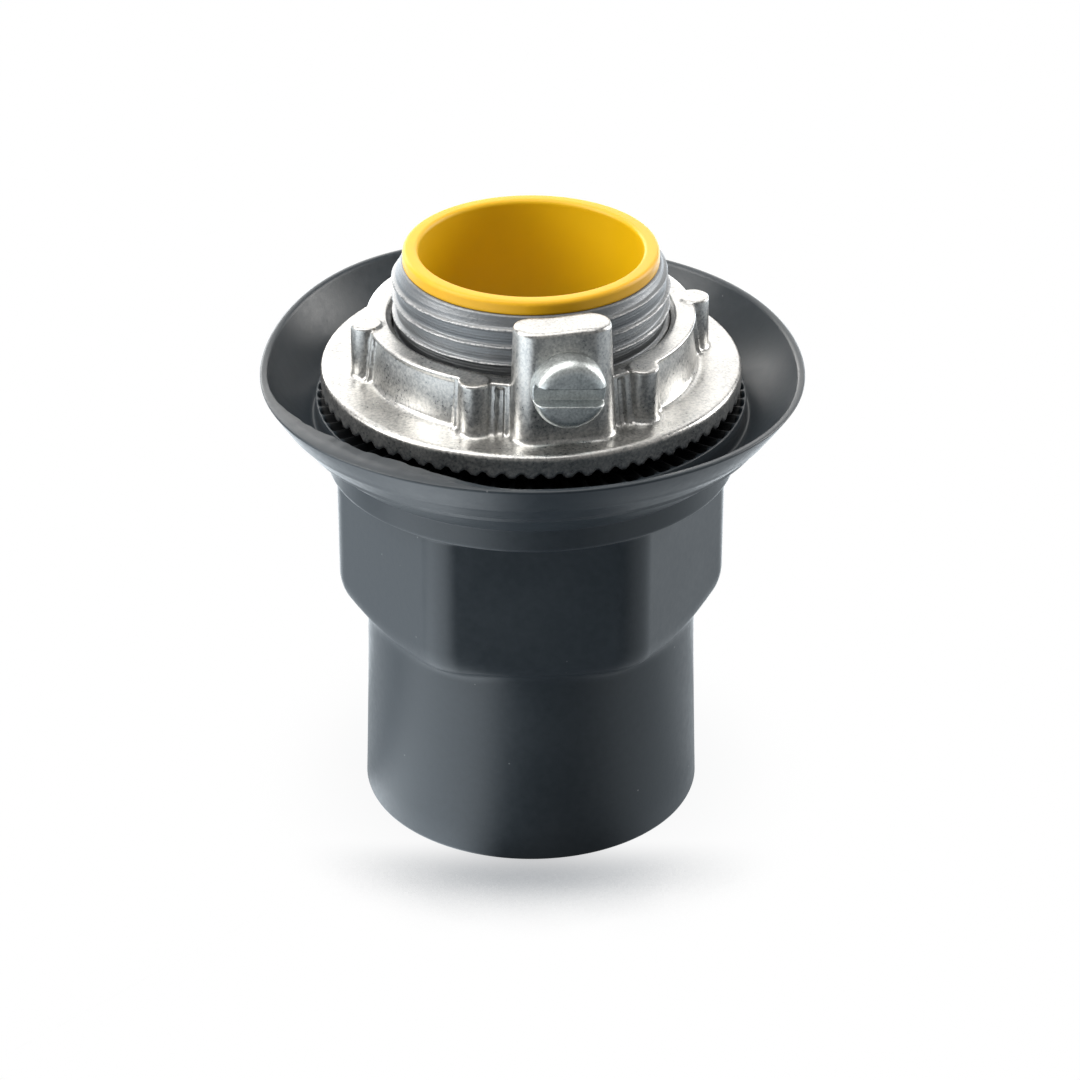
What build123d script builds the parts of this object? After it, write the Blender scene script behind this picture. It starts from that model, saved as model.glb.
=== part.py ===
from build123d import *
import math
import os

os.makedirs("parts", exist_ok=True)

# Watertight, plastic-coated conduit hub of the 1-inch trade size, in millimetres.
# The frame stands at the middle of the sleeve's open end, with +Z up the hub's axis.

# Threaded neck that goes through the wall of a box
NECK_R = 16.7
NECK_END_R = 15.6
NECK_LEAD = 1.2
NECK_BORE_R = 14.6
NECK_LENGTH = 17.5

# Flange that seats on the wall, with its radial teeth and the groove of the seal
FLANGE_INSET = 0.25
FLANGE_TAPER = 1.2
FLANGE_THICK = 7.3
TEETH = 72
TOOTH_DEPTH = 0.7
TOOTH_WIDTH = 1.75
TOOTH_INNER_R = 21.3
SEAL_R = 19.2
SEAL_SECTION_R = 1.3
SEAL_SIDE_GAP = 0.1
SEAL_PROUD = 0.6

# Wrench hexagon and the round barrel under it
HEX_FLATS = 40.6
HEX_CORNER_R = 3.2
HEX_TURN = 2.0
HEX_CONE_RISE = 0.4
BARREL_R = 19.4
BARREL_LENGTH = 5.2
HEX_LENGTH = 20.2

# Socket that the conduit screws into, and the shoulder that stops it
SOCKET_R = 14.7
SOCKET_DEPTH = 22.0
SOCKET_MOUTH = 0.9
STOP_R = 13.6
STOP_THICK = 2.5

# Plastic jacket
COAT = 1.0
COAT_RIM = 1.0
COAT_RIM_LAND = 0.4
SLEEVE_LENGTH = 22.0
SLEEVE_BORE_R = 18.0
SLEEVE_END_R = 21.05
SLEEVE_END_ROUND = 0.6
SKIRT_R = 33.3
SKIRT_RISE = 10.0
SKIRT_WALL = 1.15
SKIRT_BULGE = 0.55
SKIRT_ROOT_DROP = 2.1
COLLAR_HEIGHT = 2.6
COLLAR_SLOPE = 2.2

# Insulated throat
THROAT_R = 13.45
THROAT_FIT = 0.05
THROAT_LENGTH = 14.0
LIP_R = 15.35
LIP_HEIGHT = 1.7
LIP_ROUND = 0.5

# Lock nut
NUT_GAP = 1.5
NUT_R = 25.45
NUT_RIM = 2.8
NUT_EDGE_ROUND = 0.45
NUT_BORE_GAP = 0.12
NUT_COLLAR_R = 20.6
NUT_COLLAR_TOP_R = 19.75
NUT_COLLAR_HEIGHT = 6.4
NUT_COLLAR_ROUND = 0.8
NUT_MOUTH = 0.6
LUGS = 6
LUG_R = 1.95
LUG_TOP_R = 1.85
LUG_PLACE_R = 20.0

# Terminal boss on the nut
BOSS_ANGLE = 10.8
BOSS_WIDTH = 12.4
BOSS_FACE = 22.3
BOSS_DRAFT = 2.0
BOSS_HEIGHT = 14.0
BOSS_CORNER_R = 2.6
BOSS_TOP_ROUND = 0.7
BOSS_BACK_GAP = 0.5
SPOT_FACE_RIM = 0.15

# Ground screw
SCREW_R = 2.4
SCREW_FIT = 0.06
SCREW_LENGTH = 5.0
SCREW_END_CHAMFER = 0.5
SCREW_RISE = 7.3
HEAD_R = 4.3
HEAD_HEIGHT = 3.4
HEAD_ROUND = 0.5
SLOT_WIDTH = 2.2
SLOT_DEPTH = 1.9
SLOT_TURN = -5.0
HEAD_GAP = 0.02

# Radii and heights worked out from the sizes above
flange_r = NUT_R - FLANGE_INSET
flange_foot_r = flange_r - FLANGE_TAPER
barrel_z = SLEEVE_LENGTH
cone_z = barrel_z + BARREL_LENGTH
flange_foot_z = barrel_z + BARREL_LENGTH + HEX_LENGTH
face_z = flange_foot_z + FLANGE_THICK
neck_end_z = face_z + NECK_LENGTH
stop_z = barrel_z + SOCKET_DEPTH
nut_foot_z = face_z + NUT_GAP
nut_top_z = nut_foot_z + NUT_RIM
collar_top_z = nut_top_z + NUT_COLLAR_HEIGHT
nut_bore_r = NECK_R + NUT_BORE_GAP
screw_z = nut_top_z + SCREW_RISE
groove_in_r = SEAL_R - SEAL_SECTION_R - SEAL_SIDE_GAP
groove_out_r = SEAL_R + SEAL_SECTION_R + SEAL_SIDE_GAP
groove_z = face_z + SEAL_PROUD - 2 * SEAL_SECTION_R


def turned(*edges):
    """Solid turned about Z from a closed outline of (radius, height) edges."""
    return revolve(Plane.XZ * make_face(Curve() + list(edges)), Axis.Z)


def turned_points(*points):
    """Solid turned about Z from the corners of its outline, as (radius, height)."""
    return turned(Polyline(*points, close=True))


def hexagon(flats, corner_r, low, high):
    """Hexagonal prism with round corners, turned as the wrench flats are."""
    outline = RegularPolygon(flats / 2, 6, major_radius=False, rotation=HEX_TURN)
    outline = fillet(outline.vertices(), corner_r)
    return Pos(0, 0, low) * extrude(outline, high - low)


def cone_above(foot_r, foot_z, rise, reach_r, top_z):
    """Everything over a cone that widens upwards from its foot: trims the hexagon's lower corners."""
    return turned_points(
        (0, foot_z),
        (foot_r, foot_z),
        (reach_r, foot_z + (reach_r - foot_r) * rise),
        (reach_r, top_z),
        (0, top_z),
    )


def radial_grooves(tip_z, depth, inner_r, outer_r):
    """V grooves that run outwards from inner_r, cut into a face at tip_z; depth below 0 cuts upwards."""
    out_z = tip_z + depth
    notch = make_face(
        Polyline((-TOOTH_WIDTH, out_z), (TOOTH_WIDTH, out_z), (0, tip_z - depth), close=True)
    )
    groove = Pos(0, -inner_r, 0) * extrude(Plane.XZ * notch, outer_r - inner_r)
    return [Rot(0, 0, 360 * (number + 0.5) / TEETH) * groove for number in range(TEETH)]


# Hub body: one zinc casting
shell = turned_points(
    (SOCKET_R, barrel_z),
    (BARREL_R, barrel_z),
    (BARREL_R, cone_z),
    (BARREL_R, flange_foot_z - COAT),
    (flange_foot_r, flange_foot_z),
    (flange_r, face_z - TOOTH_DEPTH),
    (flange_r, face_z),
    (NECK_R, face_z),
    (NECK_R, neck_end_z - NECK_LEAD),
    (NECK_END_R, neck_end_z),
    (NECK_BORE_R, neck_end_z),
    (NECK_BORE_R, stop_z + STOP_THICK),
    (STOP_R, stop_z + STOP_THICK),
    (STOP_R, stop_z),
    (SOCKET_R, stop_z),
)
wrench = hexagon(HEX_FLATS, HEX_CORNER_R, cone_z - BARREL_LENGTH, flange_foot_z)
wrench &= cone_above(BARREL_R, cone_z - COAT / 2, HEX_CONE_RISE, flange_r, flange_foot_z)
wrench -= Pos(0, 0, barrel_z) * Cylinder(
    BARREL_R - COAT, flange_foot_z - barrel_z, align=(Align.CENTER, Align.CENTER, Align.MIN)
)
casting_blank = shell + wrench
mouth = turned_points(
    (0, barrel_z - 1),
    (SOCKET_R + SOCKET_MOUTH + 1, barrel_z - 1),
    (SOCKET_R, barrel_z + SOCKET_MOUTH),
    (0, barrel_z + SOCKET_MOUTH),
)
seal_groove = turned_points(
    (groove_in_r, groove_z),
    (groove_out_r, groove_z),
    (groove_out_r, face_z + 1),
    (groove_in_r, face_z + 1),
)
hub_body = casting_blank - mouth - seal_groove
hub_body -= radial_grooves(face_z, TOOTH_DEPTH, TOOTH_INNER_R, flange_r + 1)

# Plastic jacket: skirt, collar, hexagon and sleeve in one
collar_r = flange_foot_r + COAT
collar_z = flange_foot_z - COAT
skirt_root_z = collar_z + COLLAR_HEIGHT
rim_z = skirt_root_z + SKIRT_RISE
coat_r = BARREL_R + COAT
rim_band_r = flange_r + COAT_RIM
scallop_r = rim_band_r - COAT_RIM_LAND
root_z = face_z - SKIRT_ROOT_DROP
sleeve_curve = ThreePointArc(
    (SLEEVE_END_R, SLEEVE_END_ROUND),
    (coat_r + (SLEEVE_END_R - coat_r) * 0.36, SLEEVE_LENGTH / 2),
    (coat_r, SLEEVE_LENGTH),
)
end_round = RadiusArc(
    (SLEEVE_END_R - SLEEVE_END_ROUND, 0), (SLEEVE_END_R, SLEEVE_END_ROUND), -SLEEVE_END_ROUND
)
skirt_run = SKIRT_R - collar_r
skirt_slant = math.hypot(skirt_run, SKIRT_RISE)
skirt_out = (SKIRT_RISE / skirt_slant, -skirt_run / skirt_slant)
skirt_mid = (collar_r + skirt_run / 2, skirt_root_z + SKIRT_RISE / 2)
outer_mid = (skirt_mid[0] + SKIRT_BULGE * skirt_out[0], skirt_mid[1] + SKIRT_BULGE * skirt_out[1])
inner_mid = (outer_mid[0] - SKIRT_WALL * skirt_out[0], outer_mid[1] - SKIRT_WALL * skirt_out[1])
rim_in = (SKIRT_R - SKIRT_WALL / skirt_out[0], rim_z)
skirt_outside = ThreePointArc((collar_r, skirt_root_z), outer_mid, (SKIRT_R, rim_z))
skirt_inside = ThreePointArc(rim_in, inner_mid, (rim_band_r + SKIRT_WALL / 2, root_z))
jacket = turned(
    Line((0, 0), (SLEEVE_END_R - SLEEVE_END_ROUND, 0)),
    end_round,
    sleeve_curve,
    Line((coat_r, SLEEVE_LENGTH), (coat_r, collar_z - COLLAR_SLOPE)),
    Line((coat_r, collar_z - COLLAR_SLOPE), (collar_r - COAT / 4, collar_z)),
    Line((collar_r - COAT / 4, collar_z), (collar_r, collar_z + COAT / 4)),
    Line((collar_r, collar_z + COAT / 4), (collar_r, skirt_root_z)),
    skirt_outside,
    Line((SKIRT_R, rim_z), rim_in),
    skirt_inside,
    Line((rim_band_r + SKIRT_WALL / 2, root_z), (rim_band_r, root_z)),
    Line((rim_band_r, root_z), (rim_band_r, face_z)),
    Line((rim_band_r, face_z), (0, face_z)),
    Line((0, face_z), (0, 0)),
)
coat_hex = hexagon(HEX_FLATS + 2 * COAT, HEX_CORNER_R + COAT, cone_z - 2 * COAT, collar_z + COAT / 4)
coat_hex &= cone_above(coat_r, cone_z - COAT, HEX_CONE_RISE, collar_r, collar_z + COAT / 4)
jacket += coat_hex
jacket -= Cylinder(SLEEVE_BORE_R, SLEEVE_LENGTH, align=(Align.CENTER, Align.CENTER, Align.MIN))
jacket -= casting_blank
jacket -= Pos(0, 0, barrel_z) * Cylinder(
    BARREL_R - COAT, face_z, align=(Align.CENTER, Align.CENTER, Align.MIN)
)
pvc_jacket = jacket - radial_grooves(face_z, TOOTH_DEPTH, TOOTH_INNER_R, scallop_r)

# Seal ring in the flange's groove
o_ring = Pos(0, 0, groove_z + SEAL_SECTION_R) * Torus(SEAL_R, SEAL_SECTION_R)

# Throat insulator: a nylon bush with a round lip over the neck's end
bush_r = NECK_BORE_R - THROAT_FIT
lip_z = neck_end_z + LIP_HEIGHT
throat_insulator = turned(
    Line((THROAT_R, neck_end_z - THROAT_LENGTH), (bush_r, neck_end_z - THROAT_LENGTH)),
    Line((bush_r, neck_end_z - THROAT_LENGTH), (bush_r, neck_end_z)),
    Line((bush_r, neck_end_z), (LIP_R, neck_end_z)),
    Line((LIP_R, neck_end_z), (LIP_R, lip_z - LIP_ROUND)),
    RadiusArc((LIP_R, lip_z - LIP_ROUND), (LIP_R - LIP_ROUND, lip_z), -LIP_ROUND),
    Line((LIP_R - LIP_ROUND, lip_z), (THROAT_R + LIP_ROUND, lip_z)),
    RadiusArc((THROAT_R + LIP_ROUND, lip_z), (THROAT_R, lip_z - LIP_ROUND), -LIP_ROUND),
    Line((THROAT_R, lip_z - LIP_ROUND), (THROAT_R, neck_end_z - THROAT_LENGTH)),
)

# Lock nut: flange, collar, gripping lugs and terminal boss in one casting
nut_rim_z = nut_top_z - NUT_EDGE_ROUND
nut = turned(
    Line((nut_bore_r, nut_foot_z), (NUT_R, nut_foot_z)),
    Line((NUT_R, nut_foot_z), (NUT_R, nut_rim_z)),
    RadiusArc((NUT_R, nut_rim_z), (NUT_R - NUT_EDGE_ROUND, nut_top_z), -NUT_EDGE_ROUND),
    Line((NUT_R - NUT_EDGE_ROUND, nut_top_z), (NUT_COLLAR_R + NUT_COLLAR_ROUND, nut_top_z)),
    RadiusArc(
        (NUT_COLLAR_R + NUT_COLLAR_ROUND, nut_top_z),
        (NUT_COLLAR_R, nut_top_z + NUT_COLLAR_ROUND),
        NUT_COLLAR_ROUND,
    ),
    Line((NUT_COLLAR_R, nut_top_z + NUT_COLLAR_ROUND), (NUT_COLLAR_TOP_R, collar_top_z)),
    Line((NUT_COLLAR_TOP_R, collar_top_z), (nut_bore_r + NUT_MOUTH, collar_top_z)),
    Line((nut_bore_r + NUT_MOUTH, collar_top_z), (nut_bore_r, collar_top_z - NUT_MOUTH)),
    Line((nut_bore_r, collar_top_z - NUT_MOUTH), (nut_bore_r, nut_foot_z)),
)
lug = Pos(0, -LUG_PLACE_R, nut_top_z) * Cone(
    LUG_R, LUG_TOP_R, NUT_COLLAR_HEIGHT, align=(Align.CENTER, Align.CENTER, Align.MIN)
)
for number in range(LUGS):
    nut += Rot(0, 0, BOSS_ANGLE + 360 * (number + 0.5) / LUGS) * lug

boss_depth = BOSS_FACE - NECK_BORE_R
boss_plan = Rectangle(BOSS_WIDTH, boss_depth)
front_corners = boss_plan.vertices().sort_by(Axis.Y)[:2]
boss_plan = fillet(front_corners, BOSS_CORNER_R)
boss_plan = Pos(0, -(BOSS_FACE + NECK_BORE_R) / 2) * boss_plan
boss = Pos(0, 0, nut_top_z) * extrude(boss_plan, BOSS_HEIGHT, taper=BOSS_DRAFT)
boss = fillet(boss.faces().sort_by(Axis.Z)[-1].edges(), BOSS_TOP_ROUND)
boss -= Pos(0, 0, nut_top_z) * Cylinder(nut_bore_r + BOSS_BACK_GAP, 3 * BOSS_HEIGHT)
seat = BOSS_FACE - (SCREW_RISE + HEAD_R) * math.tan(math.radians(BOSS_DRAFT))
boss -= Pos(0, -seat, screw_z) * extrude(Plane.XZ * Circle(HEAD_R + SPOT_FACE_RIM), HEAD_R)
nut += Rot(0, 0, BOSS_ANGLE) * boss
screw_hole = Pos(0, 0, screw_z) * extrude(Plane.XZ * Circle(SCREW_R + SCREW_FIT), BOSS_FACE + 1)
nut -= Rot(0, 0, BOSS_ANGLE) * screw_hole
lock_nut = nut - radial_grooves(nut_foot_z, -TOOTH_DEPTH, TOOTH_INNER_R, NUT_R + 1)

# Ground screw: slotted flat-faced round head, seated on the boss
screw = turned(
    Line((0, -SCREW_LENGTH), (SCREW_R - SCREW_END_CHAMFER, -SCREW_LENGTH)),
    Line(
        (SCREW_R - SCREW_END_CHAMFER, -SCREW_LENGTH), (SCREW_R, SCREW_END_CHAMFER - SCREW_LENGTH)
    ),
    Line((SCREW_R, SCREW_END_CHAMFER - SCREW_LENGTH), (SCREW_R, 0)),
    Line((SCREW_R, 0), (HEAD_R, 0)),
    Line((HEAD_R, 0), (HEAD_R, HEAD_HEIGHT - HEAD_ROUND)),
    RadiusArc((HEAD_R, HEAD_HEIGHT - HEAD_ROUND), (HEAD_R - HEAD_ROUND, HEAD_HEIGHT), -HEAD_ROUND),
    Line((HEAD_R - HEAD_ROUND, HEAD_HEIGHT), (0, HEAD_HEIGHT)),
    Line((0, HEAD_HEIGHT), (0, -SCREW_LENGTH)),
)
slot = Pos(0, 0, HEAD_HEIGHT) * Rot(0, 0, SLOT_TURN) * Box(3 * HEAD_R, SLOT_WIDTH, 2 * SLOT_DEPTH)
screw -= slot
ground_screw = Rot(0, 0, BOSS_ANGLE) * Pos(0, -seat - HEAD_GAP, screw_z) * Rot(90, 0, 0) * screw

nodes = {
    "hub_body": hub_body,
    "pvc_jacket": pvc_jacket,
    "o_ring": o_ring,
    "throat_insulator": throat_insulator,
    "lock_nut": lock_nut,
    "ground_screw": ground_screw,
}
for name, solid in nodes.items():
    export_step(solid, f"parts/{name}.step")
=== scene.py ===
import math

import bpy
import numpy as np
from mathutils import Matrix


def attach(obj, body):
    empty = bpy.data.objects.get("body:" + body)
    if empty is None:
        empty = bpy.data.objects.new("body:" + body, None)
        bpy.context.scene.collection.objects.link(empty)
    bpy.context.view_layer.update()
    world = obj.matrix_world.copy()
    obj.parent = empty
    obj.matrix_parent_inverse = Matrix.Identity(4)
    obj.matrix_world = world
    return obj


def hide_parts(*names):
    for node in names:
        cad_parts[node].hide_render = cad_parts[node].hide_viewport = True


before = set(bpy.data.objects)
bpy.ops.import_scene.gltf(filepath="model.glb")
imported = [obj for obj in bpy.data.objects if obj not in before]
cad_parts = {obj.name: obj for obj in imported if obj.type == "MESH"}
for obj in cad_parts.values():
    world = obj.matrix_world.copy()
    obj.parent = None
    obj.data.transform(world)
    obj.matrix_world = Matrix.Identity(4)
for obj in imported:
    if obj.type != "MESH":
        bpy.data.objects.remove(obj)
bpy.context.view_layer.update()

# The view.
# A long lens looks 29 degrees down on the hub from 0.45 m; the photograph's frame sits
# a little right of the hub's axis, which the small shift gives.
SENSOR_WIDTH = 36.0
FOCAL_PIXELS = 3650.0
FRAME_PIXELS = 1080
AXIS_PIXELS_LEFT = 9
VIEW_PITCH = math.radians(29.405)
VIEW_DISTANCE = 0.45411
VIEW_HEIGHT = 0.0338

camera_data = bpy.data.cameras.new("photo_view")
camera_data.sensor_width = SENSOR_WIDTH
camera_data.lens = SENSOR_WIDTH * FOCAL_PIXELS / FRAME_PIXELS
camera_data.shift_x = AXIS_PIXELS_LEFT / FRAME_PIXELS
camera = bpy.data.objects.new("photo_view", camera_data)
camera.location = (
    0,
    -VIEW_DISTANCE * math.cos(VIEW_PITCH),
    VIEW_HEIGHT + VIEW_DISTANCE * math.sin(VIEW_PITCH),
)
camera.rotation_euler = (math.pi / 2 - VIEW_PITCH, 0, 0)
bpy.context.collection.objects.link(camera)
bpy.context.scene.camera = camera

# The stage.
# White paper that runs out of sight. The camera sees it bright, with a soft contact shadow in
# front of the hub. The hub sees it dim, with brighter stretches in a few directions, as in a
# studio where the backdrop and some white cards are lit.
WHITE = (1, 1, 1, 1)
SHADOW_REACH = 0.03
SHADOW_TONES = ((0.5, (0.1, 0.11, 0.13)), (0.68, (0.38, 0.4, 0.42)), (0.84, (1, 1, 1)))
SHADOW_FADE_Y = (-0.016, -0.027)
SHADOW_SHARE = (0.06, 1)
PAPER_SEEN_BY_HUB = (0.88, 0.95, 1, 1)
ROOM_SEEN_BY_HUB = (1, 0.99, 0.97, 1)
ROOM_STRENGTH = 0.26
LAMP_COLOUR = (1, 0.98, 0.95)

# Each bright stretch of the floor: its heading from the hub, the cosines off that heading
# where it starts and where it is full, and the light it adds at the one and at the other.
BRIGHT_STRETCHES = (
    ((-0.2, 0.98, 0), (-0.5, 0.7), (0.15, 1.0)),
    ((-0.76, -0.65, 0), (0.76, 0.97), (0, 2.0)),
    ((-0.98, 0.17, 0), (0.5, 0.95), (0, 0.15)),
    ((0.97, -0.24, 0), (0.6, 0.98), (0, 0.5)),
    ((-0.58, 0.815, 0), (0.93, 0.99), (0, 2.2)),
    ((0.5, 0.866, 0), (0.93, 0.99), (0, 2.6)),
    ((0, 1, 0), (0.85, 0.98), (0, 3.0)),
)


def math_node(nodes, kind, operation, second=None):
    """Math or VectorMath node with its operation and, where it has one, its second value."""
    node = nodes.new("ShaderNode" + kind)
    node.operation = operation
    if second is not None:
        node.inputs[1].default_value = second
    return node


def range_node(nodes, span, values, steps="SMOOTHSTEP"):
    """Map Range node: values[0] at span[0] and values[1] at span[1], held beyond both."""
    node = nodes.new("ShaderNodeMapRange")
    node.interpolation_type = steps
    sockets = ("From Min", "From Max", "To Min", "To Max")
    for socket, value in zip(sockets, (*span, *values)):
        node.inputs[socket].default_value = value
    return node


def tone_node(nodes, stops):
    """Colour ramp node with a position and a colour for each stop, from first to last."""
    node = nodes.new("ShaderNodeValToRGB")
    elements = node.color_ramp.elements
    for element, (position, colour) in ((elements[1], stops[-1]), (elements[0], stops[0])):
        element.position = position
        element.color = (*colour, 1)
    for position, colour in stops[1:-1]:
        elements.new(position).color = (*colour, 1)
    return node


def shown_apart(tree, to_camera, to_hub, output):
    """Shows one shader to the camera and the other to the hub, by the kind of ray."""
    seen_by = tree.nodes.new("ShaderNodeLightPath")
    either = tree.nodes.new("ShaderNodeMixShader")
    tree.links.new(seen_by.outputs["Is Camera Ray"], either.inputs["Fac"])
    tree.links.new(to_hub.outputs[0], either.inputs[1])
    tree.links.new(to_camera.outputs[0], either.inputs[2])
    tree.links.new(either.outputs["Shader"], tree.nodes[output].inputs["Surface"])


bpy.context.scene.view_settings.view_transform = "Standard"

floor_mesh = bpy.data.meshes.new("floor")
floor_mesh.from_pydata([(-3, -3, 0), (3, -3, 0), (3, 3, 0), (-3, 3, 0)], [], [(0, 1, 2, 3)])
floor = bpy.data.objects.new("floor", floor_mesh)
bpy.context.collection.objects.link(floor)

paper = bpy.data.materials.new("white_paper")
paper.use_nodes = True
paper_nodes = paper.node_tree.nodes
paper_links = paper.node_tree.links
paper_nodes.remove(paper_nodes["Principled BSDF"])
paper_place = paper_nodes.new("ShaderNodeTexCoord")

contact = paper_nodes.new("ShaderNodeAmbientOcclusion")
contact.inputs["Distance"].default_value = SHADOW_REACH
contact_tone = tone_node(paper_nodes, SHADOW_TONES)
across_floor = paper_nodes.new("ShaderNodeSeparateXYZ")
in_front = range_node(paper_nodes, SHADOW_FADE_Y, SHADOW_SHARE)
lit_paper = paper_nodes.new("ShaderNodeMix")
lit_paper.data_type = "RGBA"
lit_paper.inputs["A"].default_value = WHITE
bright_paper = paper_nodes.new("ShaderNodeEmission")
paper_links.new(paper_place.outputs["Object"], across_floor.inputs["Vector"])
paper_links.new(across_floor.outputs["Y"], in_front.inputs["Value"])
paper_links.new(in_front.outputs["Result"], lit_paper.inputs["Factor"])
paper_links.new(contact.outputs["AO"], contact_tone.inputs["Fac"])
paper_links.new(contact_tone.outputs["Color"], lit_paper.inputs["B"])
paper_links.new(lit_paper.outputs["Result"], bright_paper.inputs["Color"])

bearing = math_node(paper_nodes, "VectorMath", "NORMALIZE")
paper_links.new(paper_place.outputs["Object"], bearing.inputs[0])
light_so_far = None
for heading, reach, light in BRIGHT_STRETCHES:
    turned_to = math_node(paper_nodes, "VectorMath", "DOT_PRODUCT", heading)
    stretch = range_node(paper_nodes, reach, light)
    added = math_node(paper_nodes, "Math", "ADD", 0)
    paper_links.new(bearing.outputs["Vector"], turned_to.inputs[0])
    paper_links.new(turned_to.outputs["Value"], stretch.inputs["Value"])
    paper_links.new(stretch.outputs["Result"], added.inputs[0])
    if light_so_far:
        paper_links.new(light_so_far.outputs[0], added.inputs[1])
    light_so_far = added
dim_paper = paper_nodes.new("ShaderNodeEmission")
dim_paper.inputs["Color"].default_value = PAPER_SEEN_BY_HUB
paper_links.new(light_so_far.outputs[0], dim_paper.inputs["Strength"])
shown_apart(paper.node_tree, bright_paper, dim_paper, "Material Output")
floor_mesh.materials.append(paper)

world = bpy.data.worlds.new("studio")
bpy.context.scene.world = world
world.use_nodes = True
dim_room = world.node_tree.nodes["Background"]
dim_room.inputs["Color"].default_value = ROOM_SEEN_BY_HUB
dim_room.inputs["Strength"].default_value = ROOM_STRENGTH
far_paper = world.node_tree.nodes.new("ShaderNodeBackground")
far_paper.inputs["Color"].default_value = WHITE
shown_apart(world.node_tree, far_paper, dim_room, "World Output")


def softbox(name, place, aim, width, height, power):
    """Rectangular area light at place, facing aim, in metres and watts."""
    lamp_data = bpy.data.lights.new(name, "AREA")
    lamp_data.shape = "RECTANGLE"
    lamp_data.size = width
    lamp_data.size_y = height
    lamp_data.energy = power
    lamp_data.color = LAMP_COLOUR
    lamp = bpy.data.objects.new(name, lamp_data)
    lamp.location = place
    direction = np.array(aim) - np.array(place)
    flat = math.hypot(direction[0], direction[1])
    lamp.rotation_euler = (
        math.atan2(flat, -direction[2]),
        0,
        math.atan2(direction[1], direction[0]) - math.pi / 2,
    )
    bpy.context.collection.objects.link(lamp)


softbox("overhead_softbox", (-0.15, 0.0, 0.8), (0, 0, 0), 0.9, 0.8, 5)
softbox("backdrop_glow", (-0.1, 0.9, 0.45), (0, 0, 0.05), 1.4, 0.8, 7)
softbox("left_softbox", (-0.6, -0.1, 0.45), (0, 0, 0.05), 0.3, 0.6, 4.5)
softbox("back_left_softbox", (-0.5, 0.85, 0.25), (0, 0, 0.05), 0.5, 0.4, 2.6)
softbox("right_softbox", (0.6, 0.25, 0.25), (0, 0, 0.04), 0.25, 0.5, 3.2)

# Plastic jacket.
# One dipped coat of dark grey PVC, about 1 mm thick: it wraps the casting's flange and
# hexagon, runs on below as the sleeve and flares above into the hand-trimmed skirt.
# Sizes are in millimetres from here on, and MM brings them to metres.
MM = 0.001
TEETH = 72
TOOTH_DEPTH = 0.7
TOOTH_HALF_WIDTH = 0.875
FACE_Z = 54.7
COAT = 1.0
SLEEVE_R = 20.4
SLEEVE_END_R = 21.05
SLEEVE_END_ROUND = 0.6
SLEEVE_FLARE_POWER = 1.15
SLEEVE_BORE_R = 18.0
CASTING_END_Z = 22.0
HEX_APOTHEM = 21.3
HEX_CORNER_R = 4.8
HEX_TURN = math.radians(2)
HEX_FOOT_Z = 26.6
HEX_FOOT_ROUND = 2.0
HEX_FILLET = 2.2
HEX_FILLET_POWER = 2.2
COLLAR_R = 25.0
COLLAR_Z = 44.5
COLLAR_SLOPE = 2.8
FLANGE_FOOT_R = 24.0
FLANGE_FOOT_Z = 47.4
FLANGE_SLOPE = 0.18
SKIRT_ROOT_Z = 49.0
SKIRT_BULGE = 0.6
SKIRT_VALLEY_Z = 52.3
SKIRT_RINGS = 36
RIM_BAND_R = 26.2
RIM_WALL = 0.75
RIM_MEAN_R = 33.4
RIM_MEAN_Z = 58.87
RIM_R_WAVES = ((0.15, 0.04), (0.36, 0.18), (-0.2, -0.13), (-0.17, 0.05))
RIM_Z_WAVES = ((-0.32, -0.16), (0.26, 0.21), (0.13, -0.14), (-0.19, 0.06))
TRIM_STARTS = (math.radians(185), math.radians(228))
TRIM_ENDS = (math.radians(240), math.radians(268))
TRIM_WALL = 1.9


def soft_max(a, b, reach):
    """Larger of two heights, with the corner between them rounded over reach."""
    mix = np.clip(0.5 + 0.5 * (a - b) / reach, 0, 1)
    return b + (a - b) * mix + reach * mix * (1 - mix)


def soft_min(a, b, reach):
    """Smaller of two heights, with the corner between them rounded over reach."""
    return -soft_max(-a, -b, reach)


def eased(x, low, high):
    """Smooth step from 0 at low to 1 at high."""
    t = np.clip((x - low) / (high - low), 0, 1)
    return t * t * (3 - 2 * t)


def column(values):
    """One row for each value, so that it spreads over a row of angles."""
    return np.array(values, float)[:, None]


def hexagon_radius(angle, apothem, corner_r):
    """Polar radius of a hexagon with round corners: flats at apothem, arcs of corner_r."""
    sector = math.pi / 3
    off = np.mod(angle - HEX_TURN + math.pi / 2 + sector / 2, sector) - sector / 2
    center = (apothem - corner_r) / math.cos(sector / 2)
    from_corner = sector / 2 - np.abs(off)
    arc = center * np.cos(from_corner) + np.sqrt(
        np.maximum(corner_r**2 - (center * np.sin(from_corner)) ** 2, 0)
    )
    on_flat = apothem * np.tan(np.abs(off)) < (apothem - corner_r) * math.tan(sector / 2)
    return np.where(on_flat, apothem / np.cos(off), arc)


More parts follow.
